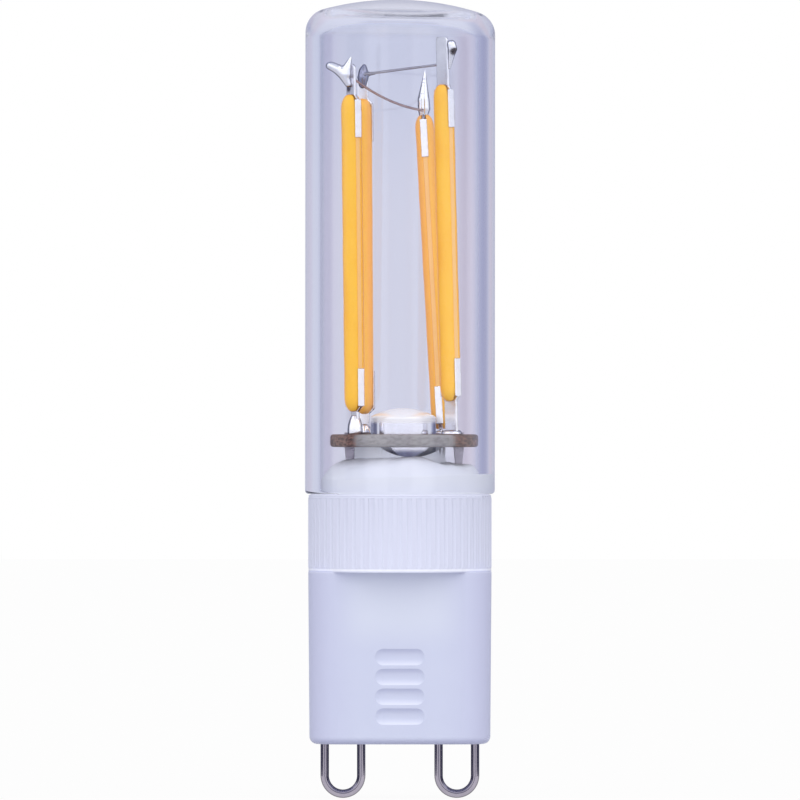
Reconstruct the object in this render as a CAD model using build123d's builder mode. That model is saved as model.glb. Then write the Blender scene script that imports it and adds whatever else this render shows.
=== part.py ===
"""Two-pin LED filament capsule lamp, in millimetres.

The origin is the centre of the base's flat underside. +Z runs up to the glass and -Y is the front.
"""

from dataclasses import dataclass
from math import asin, cos, degrees, hypot, radians, sin, sqrt
import os

from build123d import *

# Contact pins: two bent wire loops
pin_pitch = 9.0  # between the middles of the two loops
pin_wire = 0.67
loop_width = 2.88  # between the centres of a loop's two legs
loop_drop = 4.35  # from the underside of the base to the lowest point of a loop
inner_leg = 5.2  # rise of the leg that meets the driver board
outer_leg = 2.2  # rise of the leg that is anchored in the floor
pin_clearance = 0.04

# Base: a flat drafted body under a round ribbed collar
pin_margin = 0.85  # plastic left outside each loop
base_depth = 9.8
base_height = 13.55
base_draft = 0.1  # growth of each side from the foot to the collar
base_corner = 2.3
base_edge = 0.6
collar_height = 6.15
collar_wall = 1.7
collar_edge = 0.3
side_wall = 1.95
face_wall = 1.4
floor_thickness = 2.6
cavity_corner = 2.5

# Ribs of the collar, left standing between flutes
flute_count = 60
flute_radius = 0.42
flute_depth = 0.08
flute_margin = 0.35  # plain band left above and below the flutes

# Grip grooves on both flat faces, with round ends
scoop_count = 4
scoop_pitch = 1.56
scoop_first = 2.2  # height of the lowest groove
scoop_width = 3.9
scoop_radius = 1.0
scoop_depth = 0.24

# Glass
glass_overhang = 0.275  # of the glass past the collar
glass_wall = 1.2
crown_radius = 22.0
crown_corner = 1.9
crown_inner_corner = 1.2
rim_round = 0.45
rim_inner_round = 0.3
head_room = 1.75  # from the tallest terminal to the inside of the crown

# Neck insert, which plugs the mouth of the glass
bead_gap = 0.3  # between the insert and the glass, filled with silicone
bead_wet = 1.25  # height to which the silicone wets the glass
bead_crest = 0.4  # height to which it wets the boss, above the cone
bead_shoulder = (0.7, 2.15)  # in from the glass and up from the collar, where its back is fullest
spigot_depth = 4.2
spigot_clearance = 0.05
flange_height = 1.6
flange_round = 0.5
cone_rise = 0.9
boss_rise = 1.2
boss_wall = 0.85
window_width = 4.9
window_depth = 0.8
window_shift = 0.9

# Filament board
board_thickness = 1.0
board_gap = 0.45  # to the glass all round, before its shift
board_shift = 0.35
board_flats = 9.6
board_corner = 1.2

# Smoothing capacitor
can_diameter = 5.2
can_length = 11.0
can_rise = 2.0  # above the filament board
can_shift = 0.26
can_clearance = 0.15
can_edge = 0.3
can_dome = 0.65
crimp_height = 2.3
crimp_radius = 0.35
bung_diameter = 4.4
bung_length = 1.5
lead_wire = 0.5
lead_pitch = 2.0

# Feed leads from the driver up to the filament board
feed_thickness = 0.3
feed_width = 0.5
feed_head = 0.85
feed_taper = 1.7  # length over which the head narrows below the board
feed_inset_left = 1.55  # from the bore of the collar to the lead
feed_inset_right = 0.85
feed_clearance = 0.05
feed_stand = 0.15  # above the filament board

# Driver board and what it carries
driver_height = 8.4
driver_thickness = 0.8
driver_gap = 0.2
lead_overlap = 2.8  # of the capacitor leads below the driver board's top edge
feed_overlap = 1.6
joint_radius = 0.6
feed_joint_radius = 0.42
pin_joint_drop = 0.7  # from the top of a pin leg to the middle of its joint
joint_drop = 0.5
ic_size = (3.0, 1.7, 1.1)
ic_gap = 0.6
bridge_size = (4.0, 4.6, 1.2)
bridge_lift = 1.6
package_standoff = 0.1
package_draft = 3.0  # degrees
leg_size = (0.35, 0.4, 0.2)
resistor_size = (2.0, 1.25, 0.55)
resistor_count = 3
resistor_pitch = 1.9
resistor_inset = 0.9  # from the end of the driver board
resistor_edge = 0.07

# Filaments
filament_length = 25.0
substrate_width = 1.5
substrate_thickness = 0.36
substrate_inset = 0.7  # of the substrate's end from the end of the phosphor
phosphor_taper = 1.1
phosphor_tip = 0.34
terminal_thickness = 0.2
terminal_shoulder = 0.4
ear_length = 3.0
ear_width = 0.58
ear_thickness = 0.1
tongue_round = 0.38
tongue_fullness = 0.48  # most that a rounded corner takes of the tongue's width
solder_cover = 0.17  # of solder past the edges of a foot
solder_bulge = 0.95  # share of a foot joint's width that is left half-way up

# Solder on the filament tops. Each point is a distance out from the axis and a height past the top.
tail_points = [
    (-0.35, 0.75),
    (-1.05, 1.7),
    (-1.6, 2.25),
    (-1.5, 2.5),
    (-0.83, 2.3),
    (-0.25, 2.5),
    (0.02, 2.95),
    (0.16, 2.9),
    (0.33, 1.3),
    (0.2, 0.75),
]
tail_thickness = 0.9
knot_profile = [(0.3, 0.85), (0.5, 1.05), (0.57, 1.4), (0.54, 1.8), (0.4, 2.15), (0.18, 2.45), (0.06, 2.7)]
bead_profile = [(0.05, 1.4), (0.14, 1.9), (0.24, 2.4), (0.33, 2.8), (0.36, 3.1), (0.3, 3.35), (0.12, 3.5)]
spear_profile = [(0.4, 0.05), (0.58, 0.15), (0.62, 0.4), (0.52, 0.8), (0.36, 1.4), (0.2, 2.2), (0.05, 3.4)]

# Jumper wires between the filament tops
jumper_wire = 0.25
jumper_gap = 0.06  # filled with solder, between a jumper and the terminal
front_jumper_start = 1.2  # heights of the joints past the tops of the filaments
front_jumper_end = 0.3
front_jumper_sag = 0.45
rear_jumper_start = 1.9
rear_jumper_knee = 1.6
rear_jumper_end = 2.7
rear_jumper_bend = 0.8


@dataclass
class Filament:
    """Where one filament stands and leans. Insets are from the glass, angles are round the lamp's axis."""

    foot_angle: float
    foot_inset: float
    top_angle: float
    top_inset: float
    foot_rise: float
    turn: float
    tongue_width: float
    tongue_length: float
    foot_width: float
    foot_solder: float


filaments = [
    Filament(213.6, 2.15, 211.7, 1.93, 1.8, 50, 1.0, 2.4, 0.8, 1.5),
    Filament(131.3, 1.91, 132.7, 1.81, 1.6, 5, 0.9, 2.2, 0.8, 0.8),
    Filament(329.5, 1.77, 325.4, 2.25, 2.6, 50, 1.25, 3.8, 1.25, 0.35),
    Filament(39.7, 1.92, 59.8, 2.37, 0.4, 98, 0.8, 2.0, 0.8, 0.3),
]

# Sizes and levels that follow
base_width = pin_pitch + loop_width + pin_wire + 2 * pin_margin
collar_radius = base_width / 2 + base_draft
collar_top = base_height + collar_height
bore_radius = collar_radius - collar_wall
cavity_width = base_width - 2 * side_wall
cavity_depth = base_depth - 2 * face_wall
glass_radius = collar_radius + glass_overhang
glass_bore = glass_radius - glass_wall
spigot_radius = bore_radius - spigot_clearance
spigot_bottom = collar_top - spigot_depth
flange_radius = glass_bore - bead_gap
flange_top = collar_top + flange_height
board_bottom = flange_top + cone_rise + boss_rise
board_top = board_bottom + board_thickness
board_radius = glass_bore - board_gap
can_hole = can_diameter / 2 + can_clearance
boss_radius = can_hole + boss_wall
can_top = board_top + can_rise
can_bottom = can_top - can_length
driver_face = pin_wire / 2 + pin_clearance
driver_top = floor_thickness + driver_height
feed_places = {"left": feed_inset_left - bore_radius, "right": bore_radius - feed_inset_right}
feed_y = driver_face - feed_thickness / 2
feed_bottom = driver_top - feed_overlap
leads_bottom = driver_top - lead_overlap
lead_places = [can_shift - lead_pitch / 2, can_shift + lead_pitch / 2]
phosphor_radius = hypot(substrate_width, substrate_thickness) / 2
clip_half = substrate_width / 2 + ear_thickness


def round_axis(angle, radius, height):
    """A point given by its angle round the lamp's axis, its distance from it and its height."""
    return Vector(radius * cos(radians(angle)), radius * sin(radians(angle)), height)


def facing_front(origin):
    """An upright plane through a point, seen from the front of the lamp."""
    return Plane(origin=origin, x_dir=(1, 0, 0), z_dir=(0, -1, 0))


class FilamentFrame:
    """The directions and end planes of one filament: across its width, through its thickness, along it."""

    def __init__(self, filament):
        self.foot = round_axis(
            filament.foot_angle, glass_bore - filament.foot_inset, board_top + filament.foot_rise
        )
        lean = round_axis(filament.top_angle, glass_bore - filament.top_inset, self.foot.Z) - self.foot
        rise = sqrt(filament_length**2 - lean.length**2)
        self.along = (lean + Vector(0, 0, rise)).normalized()
        facing = Vector(cos(radians(filament.turn)), -sin(radians(filament.turn)), 0)
        self.through = self.along.cross(facing).normalized()
        self.across = self.through.cross(self.along)
        self.top = self.foot + self.along * filament_length
        self.section = Plane(origin=self.foot, x_dir=self.across, z_dir=self.along)
        self.front = Plane(origin=self.foot, x_dir=self.across, z_dir=-self.through)
        self.rear = Plane(origin=self.foot, x_dir=self.across, z_dir=self.through)
        self.top_end = Plane(origin=self.top, x_dir=self.across, z_dir=-self.through)
        self.foot_end = Plane(origin=self.foot, x_dir=self.across, z_dir=self.through)

    def above_top(self, up, across=0.0, through=0.0):
        """A point past the top end of the phosphor."""
        return self.top + self.along * up + self.across * across + self.through * through


frames = [FilamentFrame(filament) for filament in filaments]
tallest_tip = max(
    frame.above_top(filament.tongue_length).Z for frame, filament in zip(frames, filaments)
)
crown_inside = tallest_tip + head_room
crown_top = crown_inside + glass_wall

os.makedirs("parts", exist_ok=True)


def save(part, name):
    """Label a finished piece and write it under its own name."""
    part.label = name
    export_step(part, f"parts/{name}.step")


# Base housing
with BuildPart() as base_housing:
    with BuildSketch(Plane.XY):
        RectangleRounded(base_width, base_depth, base_corner)
    with BuildSketch(Plane.XY.offset(base_height)):
        RectangleRounded(base_width + 2 * base_draft, base_depth + 2 * base_draft, base_corner)
    loft()
    fillet(base_housing.faces().sort_by(Axis.Z)[0].edges(), base_edge)
    with BuildSketch(Plane.XY.offset(base_height)):
        Circle(collar_radius)
    extrude(amount=collar_height)
    fillet(base_housing.faces().sort_by(Axis.Z)[-1].edges(), collar_edge)
    # Flutes round the collar, with a plain band above and below
    with BuildSketch(Plane.XY.offset(base_height + flute_margin)):
        with PolarLocations(collar_radius + flute_radius - flute_depth, flute_count):
            Circle(flute_radius)
    extrude(amount=collar_height - 2 * flute_margin, mode=Mode.SUBTRACT)
    # Grip grooves, scooped out of the drafted faces
    scoop_reach = sqrt(scoop_radius**2 - (scoop_radius - scoop_depth) ** 2)
    scoop_end = scoop_width / 2 - scoop_reach
    scoop_middles = []
    for row in range(scoop_count):
        scoop_height = scoop_first + row * scoop_pitch
        face_y = base_depth / 2 + base_draft * scoop_height / base_height
        scoop_y = face_y + scoop_radius - scoop_depth
        scoop_middles += [(-scoop_y, scoop_height), (scoop_y, scoop_height)]
    with BuildSketch(Plane.YZ):
        with Locations(*scoop_middles):
            Circle(scoop_radius)
    extrude(amount=scoop_end, both=True, mode=Mode.SUBTRACT)
    with Locations(*[(x, y, z) for y, z in scoop_middles for x in (-scoop_end, scoop_end)]):
        Sphere(scoop_radius, mode=Mode.SUBTRACT)
    # Room for the driver, and the bore that takes the insert's spigot
    with BuildSketch(Plane.XY.offset(floor_thickness)):
        RectangleRounded(cavity_width, cavity_depth, cavity_corner)
    extrude(amount=collar_top - floor_thickness, mode=Mode.SUBTRACT)
    with BuildSketch(Plane.XY.offset(spigot_bottom - spigot_clearance)):
        Circle(bore_radius)
    extrude(amount=spigot_depth + spigot_clearance, mode=Mode.SUBTRACT)
    # Holes for the pin legs: the inner ones go through the floor, the outer ones are blind
    with BuildSketch(Plane.XY):
        with GridLocations(pin_pitch - loop_width, 0, 2, 1):
            Circle(pin_wire / 2 + pin_clearance)
    extrude(amount=floor_thickness, mode=Mode.SUBTRACT)
    with BuildSketch(Plane.XY):
        with GridLocations(pin_pitch + loop_width, 0, 2, 1):
            Circle(pin_wire / 2 + pin_clearance)
    extrude(amount=outer_leg + pin_clearance, mode=Mode.SUBTRACT)
save(base_housing.part, "base_housing")

# Contact pins
bend_start = -(loop_drop - pin_wire / 2 - loop_width / 2)
for side, sign in (("left", -1), ("right", 1)):
    loop_x = sign * pin_pitch / 2
    outer_x = loop_x + sign * loop_width / 2
    inner_x = loop_x - sign * loop_width / 2
    with BuildPart() as contact_pin:
        with BuildLine(Plane.XZ) as loop:
            Line((outer_x, outer_leg), (outer_x, bend_start))
            ThreePointArc((outer_x, bend_start), (loop_x, pin_wire / 2 - loop_drop), (inner_x, bend_start))
            Line((inner_x, bend_start), (inner_x, inner_leg))
        with BuildSketch(Plane.XY.offset(outer_leg)):
            with Locations((outer_x, 0)):
                Circle(pin_wire / 2)
        sweep(path=loop.wire())
    save(contact_pin.part, f"contact_pin_{side}")

# Glass envelope: a tube with a shallow crown, its outside and its inside each turned as one section
with BuildPart() as glass_envelope:
    for radius, top, arc_radius, corner, mode in (
        (glass_radius, crown_top, crown_radius, crown_corner, Mode.ADD),
        (glass_bore, crown_inside, crown_radius - glass_wall, crown_inner_corner, Mode.SUBTRACT),
    ):
        arc_angle = degrees(asin(radius / arc_radius))
        with BuildSketch(Plane.XZ) as half_outline:
            with BuildLine():
                crown = CenterArc((0, top - arc_radius), arc_radius, 90 - arc_angle, arc_angle)
                Polyline(crown @ 1, (0, collar_top), (radius, collar_top), crown @ 0)
            make_face()
            fillet(half_outline.vertices().group_by(Axis.X)[-1].sort_by(Axis.Y)[-1], corner)
        revolve(axis=Axis.Z, mode=mode)
    fillet(glass_envelope.edges().group_by(Axis.Z)[0].sort_by(SortBy.RADIUS)[-1], rim_round)
    fillet(glass_envelope.edges().group_by(Axis.Z)[0].sort_by(SortBy.RADIUS)[0], rim_inner_round)
save(glass_envelope.part, "glass_envelope")

# Neck insert: spigot, flange, cone and boss, with the capacitor's bore and slots for the feed leads
with BuildPart() as neck_insert:
    with BuildSketch(Plane.XZ) as insert_section:
        with BuildLine():
            Polyline(
                (0, spigot_bottom),
                (spigot_radius, spigot_bottom),
                (spigot_radius, collar_top),
                (flange_radius, collar_top),
                (flange_radius, flange_top),
                (boss_radius, flange_top + cone_rise),
                (boss_radius, board_bottom),
                (0, board_bottom),
                close=True,
            )
        make_face()
        shoulder = insert_section.vertices().sort_by_distance((flange_radius, flange_top))[0]
        cone_foot = insert_section.vertices().sort_by_distance((boss_radius, flange_top + cone_rise))[0]
        fillet([shoulder, cone_foot], flange_round)
    revolve(axis=Axis.Z)
    with BuildSketch(Plane.XY.offset(spigot_bottom)):
        with Locations((can_shift, 0)):
            Circle(can_hole)
        with Locations(*[(x, feed_y) for x in feed_places.values()]):
            Rectangle(feed_head + 2 * feed_clearance, feed_thickness + 2 * feed_clearance)
    extrude(amount=board_bottom - spigot_bottom, mode=Mode.SUBTRACT)
    # Scooped window in the front of the boss
    window_radius = ((window_width / 2) ** 2 + window_depth**2) / (2 * window_depth)
    with BuildSketch(Plane.XZ):
        with Locations((window_shift, board_bottom - window_depth + window_radius)):
            Circle(window_radius)
    extrude(amount=flange_radius, mode=Mode.SUBTRACT)
save(neck_insert.part, "neck_insert")

# Filament board: a disc with a flat at the front and the back
with BuildPart() as filament_board:
    with BuildSketch(Plane.XY.offset(board_bottom)) as filament_outline:
        with Locations((board_shift, 0)):
            Circle(board_radius)
            Rectangle(2 * board_radius, board_flats, mode=Mode.INTERSECT)
        fillet(filament_outline.vertices(), board_corner)
        with Locations((can_shift, 0)):
            Circle(can_hole, mode=Mode.SUBTRACT)
        with Locations(*[(x, feed_y) for x in feed_places.values()]):
            Rectangle(
                feed_head + 2 * feed_clearance, feed_thickness + 2 * feed_clearance, mode=Mode.SUBTRACT
            )
    extrude(amount=board_thickness)
save(filament_board.part, "filament_board")

# Feed leads: strips that widen to a head below the filament board
feed_leads = []
for side, feed_x in feed_places.items():
    with BuildPart() as feed_lead:
        with BuildSketch(facing_front((feed_x, feed_y, 0))):
            with BuildLine():
                Polyline(
                    (-feed_width / 2, feed_bottom),
                    (feed_width / 2, feed_bottom),
                    (feed_width / 2, board_bottom - feed_taper),
                    (feed_head / 2, board_bottom),
                    (feed_head / 2, board_top + feed_stand),
                    (-feed_head / 2, board_top + feed_stand),
                    (-feed_head / 2, board_bottom),
                    (-feed_width / 2, board_bottom - feed_taper),
                    close=True,
                )
            make_face()
        extrude(amount=feed_thickness / 2, both=True)
    feed_leads.append(feed_lead.part)
    save(feed_lead.part, f"feed_lead_{side}")

# Adhesive bead: silicone that fills the gap to the glass and heaps up over the cone, round the feed leads
shoulder_inset, shoulder_rise = bead_shoulder
with BuildPart() as adhesive_bead:
    with BuildSketch(Plane.XZ) as bead_section:
        with BuildLine():
            heap = ThreePointArc(
                (glass_bore, collar_top + bead_wet),
                (glass_bore - shoulder_inset, collar_top + shoulder_rise),
                (boss_radius, flange_top + cone_rise + bead_crest),
            )
            Polyline(
                heap @ 1,
                (boss_radius, flange_top + cone_rise),
                (flange_radius, flange_top),
                (flange_radius, collar_top + rim_inner_round),
                (glass_bore, collar_top + rim_inner_round),
                heap @ 0,
            )
        make_face()
        shoulder = bead_section.vertices().sort_by_distance((flange_radius, flange_top))[0]
        cone_foot = bead_section.vertices().sort_by_distance((boss_radius, flange_top + cone_rise))[0]
        fillet([shoulder, cone_foot], flange_round)
    revolve(axis=Axis.Z)
    add(feed_leads, mode=Mode.SUBTRACT)
save(adhesive_bead.part, "adhesive_bead")

# Capacitor: a drawn can with a domed top and a rolled crimp, its bung and its leads
can_radius = can_diameter / 2
can_axis = Axis((can_shift, 0, 0), (0, 0, 1))
dome_radius = (can_radius**2 + can_dome**2) / (2 * can_dome)
dome_angle = degrees(asin(can_radius / dome_radius))
with BuildPart() as capacitor_can:
    with BuildSketch(facing_front((can_shift, 0, 0))) as can_section:
        with BuildLine():
            dome = CenterArc((0, can_top - dome_radius), dome_radius, 90 - dome_angle, dome_angle)
            Polyline(dome @ 1, (0, can_bottom), (can_radius, can_bottom), dome @ 0)
        make_face()
        fillet(can_section.vertices().group_by(Axis.X)[-1].sort_by(Axis.Y)[-1], can_edge)
        with Locations((can_radius + crimp_radius / 2, can_bottom + crimp_height)):
            Circle(crimp_radius, mode=Mode.SUBTRACT)
        with Locations((bung_diameter / 4, can_bottom + bung_length / 2)):
            Rectangle(bung_diameter / 2, bung_length, mode=Mode.SUBTRACT)
    revolve(axis=can_axis)
save(capacitor_can.part, "capacitor_can")

with BuildPart() as capacitor_bung:
    with BuildSketch(Plane.XY.offset(can_bottom)):
        with Locations((can_shift, 0)):
            Circle(bung_diameter / 2)
        with Locations(*[(x, 0) for x in lead_places]):
            Circle(lead_wire / 2, mode=Mode.SUBTRACT)
    extrude(amount=bung_length)
save(capacitor_bung.part, "capacitor_bung")

with BuildPart() as capacitor_leads:
    with BuildSketch(Plane.XY.offset(leads_bottom)):
        with Locations(*[(x, 0) for x in lead_places]):
            Circle(lead_wire / 2)
    extrude(amount=can_bottom + bung_length - leads_bottom)
save(capacitor_leads.part, "capacitor_leads")

# Driver board, standing on the floor of the base behind the pin legs
with BuildPart() as driver_board:
    with BuildSketch(Plane.XZ.offset(-driver_face)):
        with Locations((0, floor_thickness + driver_height / 2)):
            Rectangle(cavity_width - 2 * driver_gap, driver_height)
    extrude(amount=-driver_thickness)
save(driver_board.part, "driver_board")


def moulded_package(board_plane, size, centre, legs):
    """A moulded package with rows of legs that stand on the board's face."""
    width, height, thickness = size
    leg_width, leg_reach, leg_thickness = leg_size
    with BuildPart() as package:
        with BuildSketch(board_plane.offset(package_standoff)):
            with Locations(centre):
                Rectangle(width, height)
        extrude(amount=thickness, taper=package_draft)
        with BuildSketch(board_plane):
            with Locations(centre):
                with GridLocations(width + leg_reach - leg_thickness, height / legs, 2, legs):
                    Rectangle(leg_reach + leg_thickness, leg_width)
        extrude(amount=leg_thickness)
    return package.part


front_face = Plane.XZ.offset(-driver_face)
rear_face = Plane(origin=(0, driver_face + driver_thickness, 0), x_dir=(-1, 0, 0), z_dir=(0, 1, 0))
ic_height = leads_bottom - ic_gap - ic_size[1] / 2
bridge_height = floor_thickness + bridge_lift + bridge_size[1] / 2
bridge_x = cavity_width / 2 - driver_gap - bridge_size[0] / 2 - 2 * leg_size[1]
save(moulded_package(front_face, ic_size, (0, ic_height), 3), "driver_ic")
save(moulded_package(rear_face, bridge_size, (bridge_x, bridge_height), 2), "rectifier_bridge")

resistor_x = driver_gap + resistor_inset + resistor_size[0] / 2 - cavity_width / 2
with BuildPart() as chip_resistors:
    with BuildSketch(rear_face):
        with Locations((resistor_x, bridge_height)):
            with GridLocations(0, resistor_pitch, 1, resistor_count):
                Rectangle(resistor_size[0], resistor_size[1])
    extrude(amount=resistor_size[2])
    chamfer(chip_resistors.edges().group_by(Axis.Y)[-1], resistor_edge)
save(chip_resistors.part, "chip_resistors")

# Solder joints that tie the pins, the capacitor leads and the feed leads to the driver board
pin_legs = [(sign * (pin_pitch - loop_width) / 2, inner_leg - pin_joint_drop) for sign in (-1, 1)]
lead_joints = [(x, leads_bottom + joint_drop) for x in lead_places]
feed_joints = [(x, feed_bottom + joint_drop) for x in feed_places.values()]
leg_cuts = [(x, pin_wire / 2) for x, _ in pin_legs] + [(x, lead_wire / 2) for x, _ in lead_joints]
with BuildPart() as driver_solder:
    with Locations(*[(x, driver_face, z) for x, z in pin_legs + lead_joints]):
        Sphere(joint_radius)
    with Locations(*[(x, driver_face, z) for x, z in feed_joints]):
        Sphere(feed_joint_radius)
    split(bisect_by=front_face)
    for x, radius in leg_cuts:
        with BuildSketch(Plane.XY):
            with Locations((x, 0)):
                Circle(radius)
        extrude(amount=driver_top, mode=Mode.SUBTRACT)
    with BuildSketch(Plane.XY):
        with Locations(*[(x, feed_y) for x in feed_places.values()]):
            Rectangle(feed_width, feed_thickness)
    extrude(amount=driver_top, mode=Mode.SUBTRACT)
save(driver_solder.part, "driver_solder")


def terminal(end_plane, tongue_width, tongue_length):
    """A stamped terminal: a tongue, shoulders and two ears that clasp the substrate's edges."""
    half = tongue_width / 2
    with BuildPart() as stamping:
        with BuildSketch(end_plane) as blank:
            with BuildLine():
                Polyline(
                    (half, tongue_length),
                    (half, 0),
                    (clip_half, -terminal_shoulder),
                    (clip_half, -substrate_inset),
                    (-clip_half, -substrate_inset),
                    (-clip_half, -terminal_shoulder),
                    (-half, 0),
                    (-half, tongue_length),
                    close=True,
                )
            make_face()
        extrude(amount=terminal_thickness / 2, both=True)
        with BuildSketch(end_plane):
            with Locations((0, -terminal_shoulder - ear_length / 2)):
                with GridLocations(2 * clip_half - ear_thickness, 0, 2, 1):
                    Rectangle(ear_thickness, ear_length)
        extrude(amount=ear_width / 2, both=True)
    return stamping.part


def solder_drop(plane, profile, stamping):
    """A turned drop of solder, threaded on a stamping. The profile runs from the bottom up."""
    with BuildPart() as drop:
        with BuildSketch(plane):
            with BuildLine():
                Polyline((0, profile[0][1]), *profile, (0, profile[-1][1]), close=True)
            make_face()
        revolve(axis=Axis(plane.origin, plane.y_dir))
        add(stamping, mode=Mode.SUBTRACT)
    return drop.part


# Filaments: substrate, two phosphor lobes and a terminal at each end
shoulder_width = phosphor_radius - phosphor_tip
far_taper = filament_length - phosphor_taper
top_terminals = []
for number, (filament, frame) in enumerate(zip(filaments, frames), start=1):
    name = f"filament_{number}"

    with BuildPart() as substrate:
        with BuildSketch(frame.section.offset(substrate_inset)):
            Rectangle(substrate_width, substrate_thickness)
        extrude(amount=filament_length - 2 * substrate_inset)
    save(substrate.part, f"{name}_substrate")

    for side, side_plane in (("front", frame.front), ("rear", frame.rear)):
        with BuildPart() as phosphor:
            with BuildSketch(frame.front):
                with BuildLine():
                    Line((0, 0), (phosphor_tip, 0))
                    EllipticalCenterArc(
                        (phosphor_tip, phosphor_taper), shoulder_width, phosphor_taper, 270, arc_size=90
                    )
                    Line((phosphor_radius, phosphor_taper), (phosphor_radius, far_taper))
                    EllipticalCenterArc(
                        (phosphor_tip, far_taper), shoulder_width, phosphor_taper, 0, arc_size=90
                    )
                    Line((phosphor_tip, filament_length), (0, filament_length))
                    Line((0, filament_length), (0, 0))
                make_face()
            revolve(axis=Axis(frame.foot, frame.along))
            split(bisect_by=side_plane.offset(substrate_thickness / 2))
        save(phosphor.part, f"{name}_{side}_phosphor")

    top_terminal = terminal(frame.top_end, filament.tongue_width, filament.tongue_length)
    with BuildPart() as rounded_terminal:
        add(top_terminal)
        tip_edges = rounded_terminal.edges().filter_by(Axis(frame.foot, frame.through)).sort_by(Axis.Z)[-2:]
        fillet(tip_edges, min(tongue_round, tongue_fullness * filament.tongue_width))
    top_terminals.append(rounded_terminal.part)
    save(rounded_terminal.part, f"{name}_top_terminal")

    # The foot runs down to the board and is trimmed flush with it
    with BuildPart() as foot_terminal:
        add(terminal(frame.foot_end, filament.foot_width, filament.foot_rise + board_thickness))
        split(bisect_by=Plane.XY.offset(board_top))
    save(foot_terminal.part, f"{name}_foot_terminal")

    board_point = frame.foot - frame.along * (filament.foot_rise / frame.along.Z)
    solder_radius = filament.foot_width / 2 + solder_cover
    with BuildPart() as foot_solder:
        with BuildSketch(facing_front(board_point)):
            with BuildLine():
                heel = (solder_radius, 0)
                waist = (solder_bulge * solder_radius, filament.foot_solder / 2)
                neck = (solder_radius / 2, filament.foot_solder)
                Polyline(neck, (0, filament.foot_solder), (0, 0), heel)
                ThreePointArc(heel, waist, neck)
            make_face()
        revolve(axis=Axis(board_point, (0, 0, 1)))
        add(foot_terminal.part, mode=Mode.SUBTRACT)
    save(foot_solder.part, f"{name}_foot_solder")

# Solder on the tops. The first joint is drawn out into a fish tail with two horns.
with BuildPart() as tail_solder:
    with BuildSketch(facing_front(frames[0].top)):
        with BuildLine():
            Polyline(*tail_points, close=True)
        make_face()
    extrude(amount=tail_thickness / 2, both=True)
    add(top_terminals[0], mode=Mode.SUBTRACT)
save(tail_solder.part, "filament_1_top_solder")

# The third joint is a bead on the edge of its tongue, the other two are threaded on their tongues
wire_off = (terminal_thickness + jumper_wire) / 2 + jumper_gap
edge_off = (filaments[2].tongue_width + jumper_wire) / 2
edge_plane = frames[2].top_end.shift_origin(frames[2].above_top(0, across=edge_off))
knot_solder = solder_drop(frames[1].top_end, knot_profile, top_terminals[1])
bead_solder = solder_drop(edge_plane, bead_profile, top_terminals[2])
spear_solder = solder_drop(frames[3].top_end, spear_profile, top_terminals[3])
save(knot_solder, "filament_2_top_solder")
save(bead_solder, "filament_3_top_solder")
save(spear_solder, "filament_4_top_solder")

# Jumper wires: the front one links filaments 1 and 4, the rear one links filaments 2 and 3
front_start = frames[0].above_top(front_jumper_start, through=wire_off)
front_end = frames[3].above_top(front_jumper_end, across=(filaments[3].tongue_width + jumper_wire) / 2)
front_middle = (front_start + front_end) / 2 - Vector(0, 0, front_jumper_sag)
with BuildPart() as jumper_front:
    with BuildLine() as front_path:
        ThreePointArc(front_start, front_middle, front_end)
    with BuildSketch(Plane(origin=front_start, z_dir=front_path.line % 0)):
        Circle(jumper_wire / 2)
    sweep(path=front_path.wire())
    add([tail_solder.part, spear_solder], mode=Mode.SUBTRACT)
save(jumper_front.part, "jumper_front")

rear_start = frames[1].above_top(rear_jumper_start, through=-wire_off)
rear_knee = frames[2].above_top(rear_jumper_knee, across=-edge_off, through=wire_off + jumper_wire)
rear_end = frames[2].above_top(rear_jumper_end, across=edge_off, through=wire_off)
with BuildPart() as jumper_rear:
    with BuildLine() as rear_path:
        FilletPolyline(rear_start, rear_knee, rear_end, radius=rear_jumper_bend)
    with BuildSketch(Plane(origin=rear_start, z_dir=rear_knee - rear_start)):
        Circle(jumper_wire / 2)
    sweep(path=rear_path.wire())
    add([knot_solder, bead_solder], mode=Mode.SUBTRACT)
save(jumper_rear.part, "jumper_rear")
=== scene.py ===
import math

import bpy
from mathutils import Matrix, Vector


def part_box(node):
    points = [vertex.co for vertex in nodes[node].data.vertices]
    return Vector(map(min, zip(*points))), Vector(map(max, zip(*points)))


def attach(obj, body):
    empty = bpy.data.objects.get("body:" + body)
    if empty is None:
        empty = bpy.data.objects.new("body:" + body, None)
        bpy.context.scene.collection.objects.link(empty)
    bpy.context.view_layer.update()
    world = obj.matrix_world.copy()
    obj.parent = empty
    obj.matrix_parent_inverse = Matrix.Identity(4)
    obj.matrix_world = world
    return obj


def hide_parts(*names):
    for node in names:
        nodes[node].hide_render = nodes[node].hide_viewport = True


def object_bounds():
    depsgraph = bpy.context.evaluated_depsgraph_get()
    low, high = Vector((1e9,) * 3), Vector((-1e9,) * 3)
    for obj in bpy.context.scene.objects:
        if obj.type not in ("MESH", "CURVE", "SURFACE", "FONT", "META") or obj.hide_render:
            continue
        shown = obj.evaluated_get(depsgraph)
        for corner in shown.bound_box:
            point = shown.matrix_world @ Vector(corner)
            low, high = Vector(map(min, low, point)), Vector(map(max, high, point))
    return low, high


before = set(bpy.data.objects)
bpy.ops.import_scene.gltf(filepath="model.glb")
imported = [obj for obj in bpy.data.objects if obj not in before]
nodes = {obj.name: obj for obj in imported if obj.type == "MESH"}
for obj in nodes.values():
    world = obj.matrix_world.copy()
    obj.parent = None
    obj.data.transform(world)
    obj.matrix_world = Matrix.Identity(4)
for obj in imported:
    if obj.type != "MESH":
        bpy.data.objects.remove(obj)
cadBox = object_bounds()
scene = bpy.context.scene
scene.view_settings.view_transform = "Standard"
mm = 0.001
weldGap = 0.0000015  # vertices nearer than this are one
print("frame loaded:", len(nodes), "nodes")


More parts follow.
